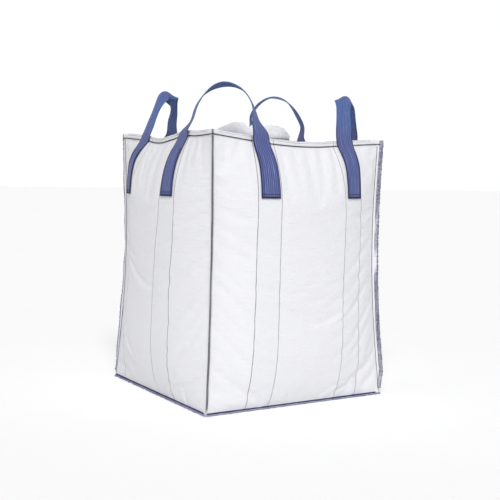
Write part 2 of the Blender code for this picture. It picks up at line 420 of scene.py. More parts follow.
def surroundings():
    """White studio: bright towards the horizon and softer overhead, with one broad light behind the camera."""
    world = bpy.data.worlds.new("studio")
    g = Graph(world)
    sky = g.tree.nodes["Background"].inputs
    sky["Color"].default_value = (1.0, 1.0, 1.0, 1.0)
    x, y, z = g.split(g.node("TexCoord", output="Generated"))
    high = g.scaled(g.step(z, 0.14, 0.55), -0.55, 1.02)
    # Above the horizon it is dimmer behind the camera and to both sides of the view
    above = g.step(z, 0.10, 0.34)
    facing = g.plus(g.times(x, -0.62), g.times(y, -0.78))
    beside = g.absolute(g.plus(g.times(x, 0.78), g.times(y, -0.62)))
    front = g.times(g.step(facing, -0.1, 0.7), above)
    edge = g.times(g.step(beside, 0.5, 0.95), above)
    dim = g.times(g.scaled(front, -0.50, 1.0), g.scaled(edge, -0.60, 1.0))
    g.feed(sky["Strength"], g.times(high, dim))
    bpy.context.scene.world = world

    data = bpy.data.lights.new("key", "SUN")
    data.energy = 2.45
    data.angle = math.radians(24.0)
    add_object("key", data).rotation_euler = Vector((0.385, 0.67, -0.76)).to_track_quat("-Z", "Y").to_euler()

    far = 60
    mesh = bpy.data.meshes.new("floor")
    mesh.from_pydata([(-far, -far, 0), (far, -far, 0), (far, far, 0), (-far, far, 0)], [], [(0, 1, 2, 3)])
    g = Surface("floor_white", 0.9, 0.0)
    patches = g.noise(g.node("TexCoord", output="Object"), 3.0, 3.0)
    mesh.materials.append(g.finished(g.mix(patches, (0.985, 0.985, 0.987), (0.995, 0.995, 0.996))))
    floor = add_object("floor", mesh)
    bpy.context.scene.view_settings.view_transform = "Standard"


# Side panels

COLUMNS = 88
ROWS = 118
FIN_STEPS = 3
FLANGE_ROWS = 2
RIM_ROWS = 3
# Columns of the cloth's own coordinates, after x, y and z
U, V = 3, 4

# How far the fin of each corner is folded round, in degrees, and how much it waves
FIN_FOLD = (12.0, 0.0, 0.0, -48.0)
FIN_WAVE = (0.35, 1.0, 1.0, 1.0)
# How far the two cloths of a fin close up towards its edge
FIN_CLOSE = 0.0007

# The simulated cloth, the frames it settles for, and how much of its fine movement is kept, up to a limit in metres
CLOTH_SETTINGS = {
    "quality": 5, "mass": 0.2, "air_damping": 4.0, "tension_stiffness": 40.0, "compression_stiffness": 40.0,
    "shear_stiffness": 18.0, "bending_stiffness": 0.35, "tension_damping": 15.0, "compression_damping": 15.0,
    "vertex_group_mass": "pinned", "pin_stiffness": 1.0, "shrink_min": -0.014, "use_pressure": True,
    "uniform_pressure_force": 1.3,
}
SETTLE_FRAMES = 24
BROAD_PASSES = 60
FINE_SHARE = 0.72
FINE_LIMIT = 0.009

# Seam lines of each finished side, for its threads and the top panel
LINES = {}


def stripe_warp(quarter, x, level):
    """Cloth coordinate across a side, with its stripes brought to STRIPE_AT either side of the middle."""
    left, right = (spline(points, level) for points in STRIPES[quarter])
    inner = STRIPE_HALF * (1.0 + STRIPE_FLARE[quarter] * smooth((0.85 - level) / 0.30))
    knots_x = np.stack([left * 0 - 0.5, left - inner, left + inner, right - inner, right + inner, right * 0 + 0.5])
    near, far = STRIPE_AT - STRIPE_HALF, STRIPE_AT + STRIPE_HALF
    knots_u = np.array([-0.5, -far, -near, near, far, 0.5])
    out = np.empty_like(x)
    for index in np.ndindex(x.shape):
        out[index] = np.interp(x[index], knots_x[(slice(None), *index)], knots_u)
    return out


def panel_grid(quarter):
    """A side between its seams: shares across and up, points, and the cloth's own coordinates."""
    across, level = np.meshgrid(np.linspace(-1.0, 1.0, COLUMNS + 1), np.linspace(0.0, 1.0, ROWS + 1))
    warped = stripe_warp(quarter, across * corner_x(0.6), level)
    flat = np.stack([warped, level * 1.19, np.full_like(across, quarter)], axis=-1)
    return across, level, side_surface(quarter, across, level), flat


def strap_mask(quarter, across, level):
    """1 on open cloth, 0 under and close beside the two straps of a side."""
    x = across * corner_x(level)
    z = level * RIM_Z
    keep = np.ones_like(x)
    for sign in (-1.0, 1.0):
        side = smooth((np.abs(x - leg_x(quarter, sign, z)) - STRAP_WIDTH * 0.5 - 0.004) / 0.03)
        below = smooth((LEG_BOTTOM - 0.01 - z) / 0.04)
        keep = np.minimum(keep, np.maximum(side, below))
    return keep


def beside_seam(distance, reach, start):
    """0 on a seam, growing over start and then fading over reach."""
    return np.exp(-distance / reach) * (1.0 - np.exp(-distance / start))


def wrinkle(quarter, across, level):
    """How far the cloth stands out or in from the smooth side: puckers at the seams, soft creases between."""
    z = level * RIM_Z
    x = across * 0.45
    seed = 11 + 7 * quarter
    rim_fade = beside_seam((1.0 - level) * RIM_Z, 0.075, 0.012)
    rim_waves = ripples(x, (1.0 - level) * 0.10, seed, 0.050, 2)
    floor_fade = beside_seam(z, 0.07, 0.014)
    floor_waves = ripples(x, z * 0.25, seed + 1, 0.075, 2)
    edge = (1.0 - np.abs(across)) * 0.45
    seam_fade = beside_seam(edge, 0.045, 0.009)
    seam_waves = ripples(z + edge * 0.4, edge * 0.5, seed + 2, 0.060, 2)
    broad = ripples(x, z * 0.8, seed + 3, 0.30, 3)
    creases = ripples(x * 0.35, z + x * 0.12, seed + 4, 0.055, 2)
    patch = np.clip(ripples(x, z, seed + 5, 0.45, 1), 0.0, 1.0)
    inside = smooth(edge / 0.05) * smooth(z / 0.06) * smooth((1.0 - level) * RIM_Z / 0.06)
    total = 0.0042 * rim_fade * rim_waves * 1.6 + 0.0030 * floor_fade * floor_waves * 1.5
    total = total + 0.0030 * seam_fade * seam_waves * 1.5
    total = total + inside * (0.0030 * broad + 0.0014 * creases * patch)
    return total


def simulate(points, pinned):
    """Let the side's cloth settle under the goods' pressure, pinned along its seams."""
    rows, columns = points.shape[:2]
    mesh = bpy.data.meshes.new("cloth_work")
    mesh.from_pydata([tuple(point) for point in points.reshape(-1, 3)], [], grid_faces(rows, columns))
    item = add_object("cloth_work", mesh)
    pins = [int(index) for index in np.nonzero(pinned.ravel())[0]]
    item.vertex_groups.new(name="pinned").add(pins, 1.0, "REPLACE")
    cloth = item.modifiers.new("Cloth", "CLOTH")
    for name, value in CLOTH_SETTINGS.items():
        setattr(cloth.settings, name, value)
    cloth.settings.effector_weights.gravity = 0.15
    cloth.collision_settings.use_collision = False
    scene = bpy.context.scene
    for clock in (scene, cloth.point_cache):
        clock.frame_start = 1
        clock.frame_end = 40
    for number in range(1, SETTLE_FRAMES + 1):
        scene.frame_set(number)
    graph = bpy.context.evaluated_depsgraph_get()
    settled = item.evaluated_get(graph).to_mesh()
    found = np.empty(len(settled.vertices) * 3)
    settled.vertices.foreach_get("co", found)
    bpy.data.objects.remove(item)
    scene.frame_set(1)
    return found.reshape(rows, columns, 3)


def relaxed(points, passes):
    """Broad shape of a grid: each pass averages neighbours along rows and columns."""
    out = points.copy()
    for _ in range(passes):
        inner = out.copy()
        inner[1:-1] = (out[:-2] + out[1:-1] * 2.0 + out[2:]) / 4.0
        inner[:, 1:-1] = (inner[:, :-2] + inner[:, 1:-1] * 2.0 + inner[:, 2:]) / 4.0
        out = inner
    return out


def fin_direction(corner, z, share):
    """Way out along the fin at a side's left corner, both cloths together, in that side's own axes."""
    calm = smooth(z / 0.1) * smooth((1.19 - z) / 0.1)
    wave = (6.0 * np.sin(z * 9.0 + corner * 1.7) + 3.0 * np.sin(z * 31.0 + corner)) * FIN_WAVE[corner]
    fold = FIN_FOLD[corner] * (0.4 + 0.6 * share) * (0.25 + 0.75 * smooth(z / 0.08))
    angle = np.radians(225.0 + fold + wave * calm * share)
    return np.stack([np.cos(angle), np.sin(angle), angle * 0.0], axis=-1)


def corner_fin(quarter, seam, z, level, sign):
    """Columns beyond a side's left (-1) or right (1) seam, in order from left to right; z sets its folds' heights."""
    corner = quarter if sign < 0 else (quarter + 1) % 4
    flange = FLANGE * math.sqrt(2.0)
    length = flange + (CORNER_FIN - flange) * smooth(level * RIM_Z / 0.12)
    columns = []
    for step in range(1, FIN_STEPS + 1):
        reach = length * step / FIN_STEPS
        direction = turn(fin_direction(corner, z, step / FIN_STEPS), 0 if sign < 0 else 1)
        column = seam.copy()
        column[:, :2] += direction[:, :2] * reach[:, None]
        column[:, 0] += sign * FIN_CLOSE * step / FIN_STEPS
        column[:, 1] += FIN_CLOSE * step / FIN_STEPS
        column[:, U] += sign * reach
        columns.append(column)
    return np.stack(columns[::int(sign)], axis=1)


def rim_fin(quarter, line):
    """Rows above the rim stitching, from the bottom up."""
    x = line[:, 0]
    calm = smooth((0.43 - np.abs(x)) / 0.05)
    rows = []
    for step in range(1, RIM_ROWS + 1):
        share = step / RIM_ROWS
        row = line.copy()
        row[:, 2] += RIM_FIN * share
        row[:, 1] -= (0.0022 * ripples(x, quarter, 43 + quarter, 0.16, 2) - 0.001) * share * calm
        row[:, 2] += 0.0022 * ripples(x, 0.0, 53 + quarter, 0.12, 2) * share * calm
        row[:, V] += RIM_FIN * share
        rows.append(row)
    return np.stack(rows)


def floor_flange(quarter, line, rim_x):
    """Rows of the flange on the floor, from its edge to the seam."""
    rows = []
    for step in range(FLANGE_ROWS, 0, -1):
        share = step / FLANGE_ROWS
        out = FLANGE * share
        row = line.copy()
        row[:, 1] -= out
        row[:, 2] = FLOOR_Z + (FLANGE_EDGE_Z - FLOOR_Z) * share
        row[:, 2] += 0.0012 * (1.0 + ripples(rim_x, 0.0, 63 + quarter, 0.09, 2)) * share
        row[:FIN_STEPS, :2] = row[FIN_STEPS, :2]
        row[-FIN_STEPS:, :2] = row[-FIN_STEPS - 1, :2]
        row[:FIN_STEPS + 1, 0] -= out
        row[-FIN_STEPS - 1:, 0] += out
        row[:, V] -= out
        rows.append(row)
    return np.stack(rows)


def side_panel(quarter):
    across, level, local, flat = panel_grid(quarter)
    mask = strap_mask(quarter, across, level)
    local[..., 1] -= wrinkle(quarter, across, level) * mask
    pinned = np.zeros(across.shape)
    pinned[0] = pinned[-1] = 1.0
    pinned[:, 0] = pinned[:, -1] = 1.0
    moved = simulate(local, pinned) - local
    fine = np.clip(moved - relaxed(moved, BROAD_PASSES), -FINE_LIMIT, FINE_LIMIT)
    local = local + fine * mask[..., None] * FINE_SHARE
    # Places and the cloth's own coordinates side by side, so that fins and flange extend both
    grid = np.concatenate([local, flat], axis=-1)
    fins = [corner_fin(quarter, grid[:, end], grid[:, 0, 2], level[:, 0], sign) for end, sign in ((0, -1.0), (-1, 1.0))]
    grid = np.concatenate([fins[0], grid, fins[1]], axis=1)
    grid = np.concatenate([floor_flange(quarter, grid[0], grid[-1, :, 0]), grid, rim_fin(quarter, grid[-1])])
    points = turn(grid[..., :3], quarter)
    rows, count = points.shape[:2]

    def in_flange_fin(face):
        row, column = divmod(face[0], count)
        return row < FLANGE_ROWS and not FIN_STEPS <= column < count - 1 - FIN_STEPS

    faces = [face for face in grid_faces(rows, count) if not in_flange_fin(face)]
    seams = points[FLANGE_ROWS:-RIM_ROWS]
    top = points[-RIM_ROWS - 1:]
    LINES[quarter] = {
        "root_left": seams[:, FIN_STEPS], "edge_left": seams[:, 0],
        "root_right": seams[:, -FIN_STEPS - 1], "edge_right": seams[:, -1],
        "rim": top[:, FIN_STEPS:-FIN_STEPS], "rim_end_to_end": top,
        "floor": points[:FLANGE_ROWS + 1, FIN_STEPS:-FIN_STEPS]}
    item = new_mesh("panel_" + SIDES[quarter], points, faces, PANEL_CLOTH, "bag", grid[..., 3:])
    drop_loose(item)
    thicken(item, CLOTH)
    apply_modifiers(item)
    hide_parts("side_panel_" + SIDES[quarter])


def edit(item, change):
    """Run change on an item's mesh as a bmesh."""
    work = bmesh.new()
    work.from_mesh(item.data)
    change(work)
    work.to_mesh(item.data)
    work.free()


def drop_loose(item):
    """Drop points left by skipped faces."""
    def change(work):
        bmesh.ops.delete(work, geom=[vert for vert in work.verts if not vert.link_faces], context="VERTS")
        bmesh.ops.remove_doubles(work, verts=work.verts, dist=0.00001)
    edit(item, change)


def fix_normals(item):
    edit(item, lambda work: bmesh.ops.recalc_face_normals(work, faces=work.faces))


# Lifting loops

# Half width and height of a loop above its feet, each as a share of the whole
ARCH = ((1.0, 0.0), (0.955, 0.09), (0.865, 0.26), (0.760, 0.46), (0.665, 0.62), (0.545, 0.765),
        (0.385, 0.892), (0.195, 0.972), (0.0, 1.0))

# By corner: inward lean of the loop's top in metres, how late it leans on the way up, and sideways sway in metres
LEAN = (0.038, 0.019, 0.030, 0.036)
LEAN_POWER = (1.3, 1.3, 1.3, 0.8)
SWAY = (0.0, 0.0, -0.036, 0.0)
# Roll of the webbing at the top, outer edge up, and curl of its edges there, in degrees, over a share of the length
ROLL = (9.0, 4.0, 8.0, 15.0)
CUP = (18.0, 112.0, 18.0, 118.0)
CUP_SPAN = (0.21, 0.14, 0.21, 0.21)
# How far the loop's two strands draw in above the rim, as shares of its half width
WAIST = ((0.07, 0.03), (0.0, 0.0), (-0.03, 0.20), (0.0, 0.0))
# How far the loop's right foot stands to the side, in metres
FOOT_SHIFT = (-0.020, 0.0, 0.0, 0.0)
# Direction of the webbing's width round its corner, in degrees, by share of the loop's length
TWIST = (
    ((0.0, 88.0), (0.03, 78.0), (0.07, 71.0), (0.12, 70.0), (0.30, 68.0), (0.42, 56.0), (0.5, 46.0), (0.82, 50.0),
     (0.88, 43.0), (0.94, 28.0), (1.0, 9.0)),
    ((0.0, 90.0), (0.15, 98.0), (0.30, 98.0), (0.41, 68.0), (0.5, 45.0), (0.60, 22.0), (0.72, 4.0), (1.0, 0.0)),
    ((0.0, 84.0), (0.04, 75.0), (0.10, 70.0), (0.25, 68.0), (0.5, 45.0), (0.86, 48.0), (0.95, 40.0), (1.0, 0.0)),
    ((0.0, 100.0), (0.04, 116.0), (0.18, 124.0), (0.33, 130.0), (0.42, 92.0), (0.5, 48.0), (0.60, 20.0), (0.70, 3.0),
     (1.0, 0.0)),
)

STRAP_COLUMNS = 37
STRAP_S = np.linspace(-0.5, 0.5, STRAP_COLUMNS) * STRAP_WIDTH
TWIST_FROM = 1.115


def unit(vectors):
    return vectors / np.maximum(np.linalg.norm(vectors, axis=-1, keepdims=True), 1e-9)


def lengths(path):
    """Distance run at every point of a path."""
    return np.concatenate([[0.0], np.cumsum(np.linalg.norm(np.diff(path, axis=0), axis=1))])


def sample(path, length, at):
    """Points of a path, or values along it, at the distances at."""
    return np.stack([np.interp(at, length, path[:, axis]) for axis in range(3)], axis=1)


def loop_path(corner):
    """Places along a loop from its left foot up, over and down its right foot, and the width's direction there."""
    reach = LOOP_REACH[corner]
    foot = RIM_HALF + 0.0062
    near = np.array([-(RIM_HALF - reach), -foot])
    far = np.array([-foot, -(RIM_HALF - reach)])
    middle = (near + far) / 2.0
    along = (near - far) / 2.0
    rise = LOOP_TOP[corner] - SPRING_Z
    shape = [(-a, h) for a, h in ARCH] + [(a, h) for a, h in ARCH[-2::-1]]
    ids = np.arange(len(shape), dtype=float)
    fine = np.linspace(0.0, len(shape) - 1.0, 400)
    side = spline(list(zip(ids, [s[0] for s in shape])), fine)
    height = spline(list(zip(ids, [s[1] for s in shape])), fine)
    length = np.concatenate([[0.0], np.cumsum(np.hypot(np.diff(side) * 0.18, np.diff(height) * rise))])
    even = np.linspace(0.0, length[-1], 64)
    side = np.interp(even, length, side)
    height = np.interp(even, length, height)
    height = np.clip(height, 0.0, 1.0)
    inward = LEAN[corner] * height ** LEAN_POWER[corner] * math.sqrt(0.5)
    side = side + SWAY[corner] / (math.sqrt(2.0) * abs(along[0])) * smooth(height / 0.4)
    pinch = np.where(side < 0.0, WAIST[corner][0], -WAIST[corner][1])
    side = side + pinch * np.exp(-((height - 0.24) / 0.20) ** 2) * smooth(height / 0.15)
    place = np.stack([middle[0] + along[0] * side + inward, middle[1] + along[1] * side + inward,
                      SPRING_Z + height * rise], axis=-1)
    angle = np.radians(spline(TWIST[corner], np.linspace(0.0, 1.0, len(even))))
    roll = math.radians(ROLL[corner]) * height ** 3
    wish = np.stack([-np.cos(angle) * np.cos(roll), -np.sin(angle) * np.cos(roll), np.sin(roll)], axis=-1)
    tangent = unit(np.gradient(place, axis=0))
    tangent[:2] = tangent[-2:] = (0.0, 0.0, 1.0)
    width = unit(wish - tangent * np.sum(wish * tangent, axis=1, keepdims=True))
    last = 1.0 - smooth((1.0 - np.linspace(0.0, 1.0, len(even))) / 0.2)
    place[:, 0] += FOOT_SHIFT[corner] * last
    begun = smooth((DRIFT_TOP - place[:, 2]) / LEG_CURVE)
    first = np.linspace(0.0, 1.0, len(even)) < 0.5
    place[:, 0] += np.where(first, 0.0, LEG_DRIFT[corner][0]) * begun
    place[:, 1] -= np.where(first, LEG_DRIFT[(corner + 3) % 4][1], 0.0) * begun
    place[:, 1] -= STRAP_WIDTH * 0.5 * math.sin(math.radians(TWIST[corner][-1][1])) * last
    return place, width


def leg_x(quarter, side, z):
    """Middle of the strap near a side's left (-1) or right (1) end, at height z."""
    corner = quarter if side < 0 else (quarter + 1) % 4
    drift = LEG_DRIFT[quarter][int(side > 0)]
    top = side * (RIM_HALF - LOOP_REACH[corner]) + (FOOT_SHIFT[quarter] if side < 0 else 0.0)
    return top + drift * smooth((DRIFT_TOP - z) / LEG_CURVE)


def on_side(quarter, x, z, lift):
    """Point on the smooth outside of a side at height z, held off it by lift, in the side's own axes."""
    x = np.asarray(x, float)
    z = np.asarray(z, float)
    top = rim_z(quarter, x / 0.437)
    level = np.clip((z - FLOOR_Z) / (top - FLOOR_Z), 0.0, 1.0)
    across = x / corner_x(level)
    y = -(half(level) + bulge(across, level))
    step = 0.004
    after = np.clip((z + step - FLOOR_Z) / (top - FLOOR_Z), 0.0, 1.0)
    slope = (-(half(after) + bulge(x / corner_x(after), after)) - y) / step
    normal = 1.0 / np.sqrt(1.0 + slope * slope)
    y = y - lift / np.maximum(normal, 0.7)
    return np.stack([x, y, z], axis=-1)


def cupped(centre, direction, tangent, cup):
    """A line across the webbing, its edges curled by cup radians towards the inside of the loop."""
    inside = np.cross(tangent, direction)
    radius = STRAP_WIDTH * 0.5 / max(cup, 0.01)
    along = radius * np.sin(STRAP_S / radius)
    drop = radius * (1.0 - np.cos(STRAP_S / radius)) * min(cup / 0.01, 1.0)
    return centre[None, :] - along[:, None] * direction[None, :] + drop[:, None] * inside[None, :]


def strap_grid(corner):
    """Middle surface of a strap in its corner's own axes: up one side, over as a loop and down the next side."""
    place, width = loop_path(corner)
    heights = np.linspace(LEG_BOTTOM, SPRING_Z - 0.004, 30)

    def leg_row(quarter, side, z):
        across = leg_x(quarter, side, z) - side * STRAP_S
        row = on_side(quarter, across, np.full(STRAP_COLUMNS, z), 0.0042)
        if side < 0:
            # The strap turns about its inner edge on its way up to the loop
            twist = math.radians(TWIST[corner][-1][1]) * smooth((z - TWIST_FROM) / (SPRING_Z - TWIST_FROM))
            inner = max(across[0], across[-1])
            row[:, 1] -= (inner - across) * math.sin(twist)
            row[:, 0] = inner + (across - inner) * math.cos(twist)
        return turn(turn(row, quarter), -corner)

    rows = [leg_row((corner + 3) % 4, 1.0, z) for z in heights]
    share = np.linspace(0.0, 1.0, len(place))
    cup = np.radians(CUP[corner]) * np.exp(-((share - 0.5) / CUP_SPAN[corner]) ** 2)
    rows += [cupped(*values) for values in zip(place, width, unit(np.gradient(place, axis=0)), cup)]
    rows += [leg_row(corner, -1.0, z) for z in heights[::-1]]
    return soften(np.stack(rows), 3)


def soften(grid, passes):
    out = grid.copy()
    for _ in range(passes):
        out[1:-1] = (out[:-2] + 2.0 * out[1:-1] + out[2:]) / 4.0
    return out


def strap(corner):
    """One length of webbing, ribbed on both faces."""
    grid = strap_grid(corner)
    length = lengths(grid[:, STRAP_COLUMNS // 2])
    even = np.linspace(0.0, length[-1], int(length[-1] / 0.0065))
    index = np.interp(even, length, np.arange(len(length)))
    low = np.clip(index.astype(int), 0, len(length) - 2)
    part = (index - low)[:, None, None]
    grid = grid[low] * (1.0 - part) + grid[low + 1] * part
    # Ribs and a slightly thinner edge, worked on both faces
    normal = unit(np.cross(np.gradient(grid, axis=0), np.gradient(grid, axis=1)))
    rib = 0.00022 * np.sin(STRAP_S * 2.0 * math.pi / RIB_PITCH)
    body = 0.00115 - 0.0006 * smooth((np.abs(STRAP_S) - 0.038) / 0.0045)
    thick = (body + rib)[None, :, None]
    v = np.broadcast_to(even[:, None], grid.shape[:2])
    u = np.broadcast_to(STRAP_S[None, :], grid.shape[:2])
    flat = np.stack([u, v, np.minimum(v, even[-1] - v)], axis=-1)
    points = np.concatenate([grid + normal * thick, (grid - normal * thick)[:, ::-1]], axis=1)
    rows, ring = points.shape[:2]
    faces = [tuple(reversed(face)) for face in grid_faces(rows, ring, wrap=True)]
    for row, flip in ((0, False), (rows - 1, True)):
        for column in range(STRAP_COLUMNS - 1):
            first = row * ring + column
            last = row * ring + ring - 1 - column
            face = (first, first + 1, last - 1, last)
            faces.append(tuple(reversed(face)) if flip else face)
    item = new_mesh("strap_" + CORNERS[corner], turn(points, corner), faces, WEBBING, None,
                    np.concatenate([flat, flat[:, ::-1]], axis=1))
    fix_normals(item)
    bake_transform(item)
    left_side = SIDES[(corner + 3) % 4]
    right_side = SIDES[corner]
    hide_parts("lifting_loop_" + CORNERS[corner],
                "loop_leg_%s_near_%s" % (left_side, CORNERS[corner]),
                "loop_leg_%s_near_%s" % (right_side, CORNERS[corner]))


# Threads


class Threads:
    """Gathers many small pieces of thread into one mesh."""

    def __init__(self):
        self.points = []
        self.faces = []
        self.count = 0

    def tube(self, path, radius, sides=5):
        tangent = unit(np.gradient(path, axis=0))
        guide = np.where(np.abs(tangent[:, 2:3]) > 0.8, np.array([[1.0, 0.0, 0.0]]), UP)
        first = unit(np.cross(tangent, guide))
        second = np.cross(tangent, first)
        angles = np.arange(sides) * 2.0 * math.pi / sides
        ring = np.cos(angles)[None, :, None] * first[:, None] + np.sin(angles)[None, :, None] * second[:, None]
        radius = np.broadcast_to(np.asarray(radius, float), (len(path),))
        base = self.count
        self.faces += [tuple(base + index for index in face) for face in grid_faces(len(path), sides, wrap=True)]
        self.faces.append(tuple(base + index for index in reversed(range(sides))))
        last = base + (len(path) - 1) * sides
        self.faces.append(tuple(last + index for index in range(sides)))
        self.points.append((path[:, None] + ring * radius[:, None, None]).reshape(-1, 3))
        self.count += len(path) * sides

    def stitches(self, path, lift, pitch, share, radius):
        """Separate raised stitches in a row along path, each sinking into the cloth at its ends."""
        length = lengths(path)
        rise = np.array([-0.2, 0.75, 1.0, 0.75, -0.2])
        swell = np.array([0.55, 0.95, 1.0, 0.95, 0.55])
        for index in range(max(int(length[-1] / pitch), 1)):
            ends = (index + 0.5 * (1.0 - share)) * pitch, (index + 0.5 * (1.0 + share)) * pitch
            at = np.linspace(ends[0], ends[1], len(rise))
            outward = sample(lift, length, at)
            self.tube(sample(path, length, at) + outward * (rise * radius)[:, None], radius * swell, 6)

    def piece(self, name, mat, slot_name, *replaced):
        item = new_mesh(name, np.concatenate(self.points), self.faces, mat)
        fix_normals(item)
        if replaced:
            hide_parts(*replaced)


def along_line(path, spacing):
    """A path's points at even spacing."""
    length = lengths(path)
    return sample(path, length, np.arange(0.0, length[-1], spacing))


def overlock(threads, edge_a, edge_b, in_a, in_b, out_a, out_b, pitch, depth, radius, loose=0.0):
    """Thread wrapped over a sewn edge: edge lines, inward directions and outward faces of its two cloths."""
    a = along_line(edge_a, pitch / 4.0)
    b = along_line(edge_b, pitch / 4.0)
    count = min(len(a), len(b)) // 4 * 4
    middle = (a[:count] + b[:count]) / 2.0
    inward = (in_a + in_b) / 2.0
    # Deep stitches stand further off the cloth than shallow ones
    lift = 0.8 if depth < 0.012 else 2.2
    rng = np.random.default_rng(int(abs(edge_a[0, 0] * 1000)) + 17)
    path = []
    for index in range(count):
        phase = index % 4
        reach = depth * rng.uniform(0.80, 1.08)
        if phase == 0:
            path.append(a[index] + in_a * reach + out_a * radius * lift)
        elif phase == 2:
            path.append(b[index] + in_b * reach + out_b * radius * lift)
        else:
            path.append(middle[index] - inward * (radius * 1.2 + loose * rng.uniform(0.0, 1.0)))
    threads.tube(np.array(path), radius)
    for line, along, outward in ((a, in_a, out_a), (b, in_b, out_b)):
        wobble = np.array([rng.uniform(-0.0005, 0.0005) for _ in range(count)])[:, None]
        threads.tube(line[:count] + along * (depth * 0.97 + wobble) + outward * radius * 1.4, radius * 0.9)
    threads.tube(middle - inward * radius * 1.6, radius * 1.5)


def corner_threads(corner):
    after, before = LINES[corner], LINES[(corner + 3) % 4]
    outward = turn(np.array([-math.sqrt(0.5), -math.sqrt(0.5), 0.0]), corner)
    face = turn(np.array([math.sqrt(0.5), -math.sqrt(0.5), 0.0]), corner)
    # The near corner is sewn fine and dark, the others coarse and loose
    if corner == 0:
        mat, sizes, seam_radius = CHARCOAL, (0.0030, 0.0100, 0.0009, 0.0), 0.0007
    else:
        mat, sizes, seam_radius = VIOLET, (0.0044, 0.0130, 0.0010, 0.005), 0.0014
    edges = (after["edge_left"], before["edge_right"])
    edges = [np.concatenate([edge[2:], edge[-1:] + UP * RIM_FIN]) for edge in edges]
    threads = Threads()
    overlock(threads, *edges, -outward, -outward, face, -face, *sizes)
    threads.piece("overlock_" + CORNERS[corner], mat, "corner_thread_charcoal",
                  "corner_overlock_" + CORNERS[corner])
    seam = Threads()
    for root, side in ((after["root_left"], face), (before["root_right"], -face)):
        line = root[1:] + outward * 0.0035 + side * 0.0002
        line = along_line(np.concatenate([line, line[-1:] + UP * 0.004]), 0.004)
        seam.stitches(line, np.broadcast_to(side, line.shape), 0.0090, 0.92, seam_radius)
    seam.piece("seam_" + CORNERS[corner], CHARCOAL, "corner_thread_charcoal")


def floor_threads(quarter):
    edge, _, root = LINES[quarter]["floor"]
    out = turn(OUT, quarter)
    slope = unit(root[len(root) // 2] - edge[len(edge) // 2])
    face = unit(np.cross(slope, np.cross(UP, slope)))
    face = face if face[2] > 0 else -face
    under = edge.copy()
    under[:, 2] = 0.0014
    threads = Threads()
    overlock(threads, edge, under, slope, -out, face, UP * 0.2, 0.0064, 0.0050, 0.0007, 0.0100)
    threads.piece("overlock_base_" + SIDES[quarter], SKY, "seam_thread_navy",
                  "base_overlock_" + SIDES[quarter])
    # Base seam: two thick rows of navy stitches, the real needle line made broad and doubled to carry painted shade
    # along the seam's foot as well
    seam = Threads()
    line = along_line(root + out * 0.0008 + UP * 0.0004, 0.01)
    seam.stitches(line, np.broadcast_to(unit(out + UP), line.shape), 0.0120, 0.985, 0.0034)
    line = along_line(root + out * 0.0012 - UP * 0.0036, 0.01)
    seam.stitches(line, np.broadcast_to(out, line.shape), 0.0100, 0.97, 0.0022)
    seam.piece("seam_with_painted_shade_base_" + SIDES[quarter], NAVY, "seam_thread_navy")


def rim_threads(quarter):
    out = turn(OUT, quarter)
    line = along_line(LINES[quarter]["rim_end_to_end"][0] + UP * 0.0030, 0.008)
    normal = np.cross(np.gradient(line, axis=0), UP)
    normal = unit(normal * np.sign(normal @ out)[:, None])
    threads = Threads()
    threads.stitches(line + normal * 0.0004, normal, 0.0100, 0.97, 0.0024)
    threads.piece("rim_stitching_" + SIDES[quarter], BLACK, "rim_thread_black", "rim_stitch_" + SIDES[quarter])
    edge = LINES[quarter]["rim"][-1][3:-3]
    edging = Threads()
    overlock(edging, edge, edge - out * 0.0044, -UP, -UP, out, -out, 0.0060, 0.0060, 0.0006)
    edging.piece("rim_overlock_" + SIDES[quarter], PALE, "rim_thread_black")


# Top panel, base and spout


def top_panel():
    """Cloth inside the rim's four fins, then in to the hole for the spout, sagging between."""
    inner_steps = 34
    hole = SPOUT_R + 0.002
    limit = RIM_HALF - 0.0030
    ring_rows = []
    for row in range(RIM_ROWS, -1, -1):
        parts = []
        for quarter in range(4):
            line = LINES[quarter]["rim"][row] - turn(OUT, quarter) * 0.0022
            local = turn(line, -quarter)
            local[:, 0] = np.clip(local[:, 0] * 0.9995, -limit, limit)
            parts.append(turn(local, quarter)[:-1])
        ring_rows.append(np.concatenate(parts))
    base_ring = ring_rows[-1]
    count = len(base_ring)
    angle = np.radians(-135.0) + np.arange(count) / count * 2.0 * math.pi
    circle = np.stack([np.cos(angle), np.sin(angle)], axis=-1) * hole
    for step in range(1, inner_steps + 1):
        share = step / inner_steps
        row = base_ring.copy()
        row[:, :2] = base_ring[:, :2] * (1.0 - share) + circle * share
        hang = 0.010 * math.sin(math.pi * share) ** 0.8
        z = base_ring[:, 2] * (1.0 - share) + 1.193 * share - hang
        calm = math.sin(math.pi * share) ** 0.5 if share < 1.0 else 0.0
        radial = ripples(angle * 0.45, share * 0.05, 91, 0.12, 2)
        broad = ripples(row[:, 0], row[:, 1], 92, 0.32, 3)
        row[:, 2] = z + calm * (0.0045 * radial + 0.0045 * broad)
        row[:, 2] -= 0.0022 * smooth(1.0 - share * 12.0)
        ring_rows.append(row)
    grid = np.stack(ring_rows)
    faces = [tuple(reversed(face)) for face in grid_faces(len(ring_rows), count, wrap=True)]
    item = new_mesh("top_cloth", grid, faces, PLAIN_CLOTH, "bag", grid * (1.0, 1.0, 0.0))
    thicken(item, CLOTH, 0.0)
    apply_modifiers(item)
    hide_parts("top_panel")


def base_panel():
    reach = BASE_HALF + FLANGE - 0.0005
    steps = 40
    ticks = np.linspace(-reach, reach, steps + 1)
    x, y = np.meshgrid(ticks, ticks)
    points = np.stack([x, y, np.full_like(x, 0.0012)], axis=-1)
    item = new_mesh("base_cloth", points, grid_faces(steps + 1, steps + 1), PLAIN_CLOTH, "bag",
                    points * (1.0, 1.0, 0.0))
    thicken(item, CLOTH)
    apply_modifiers(item)
    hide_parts("base_panel")


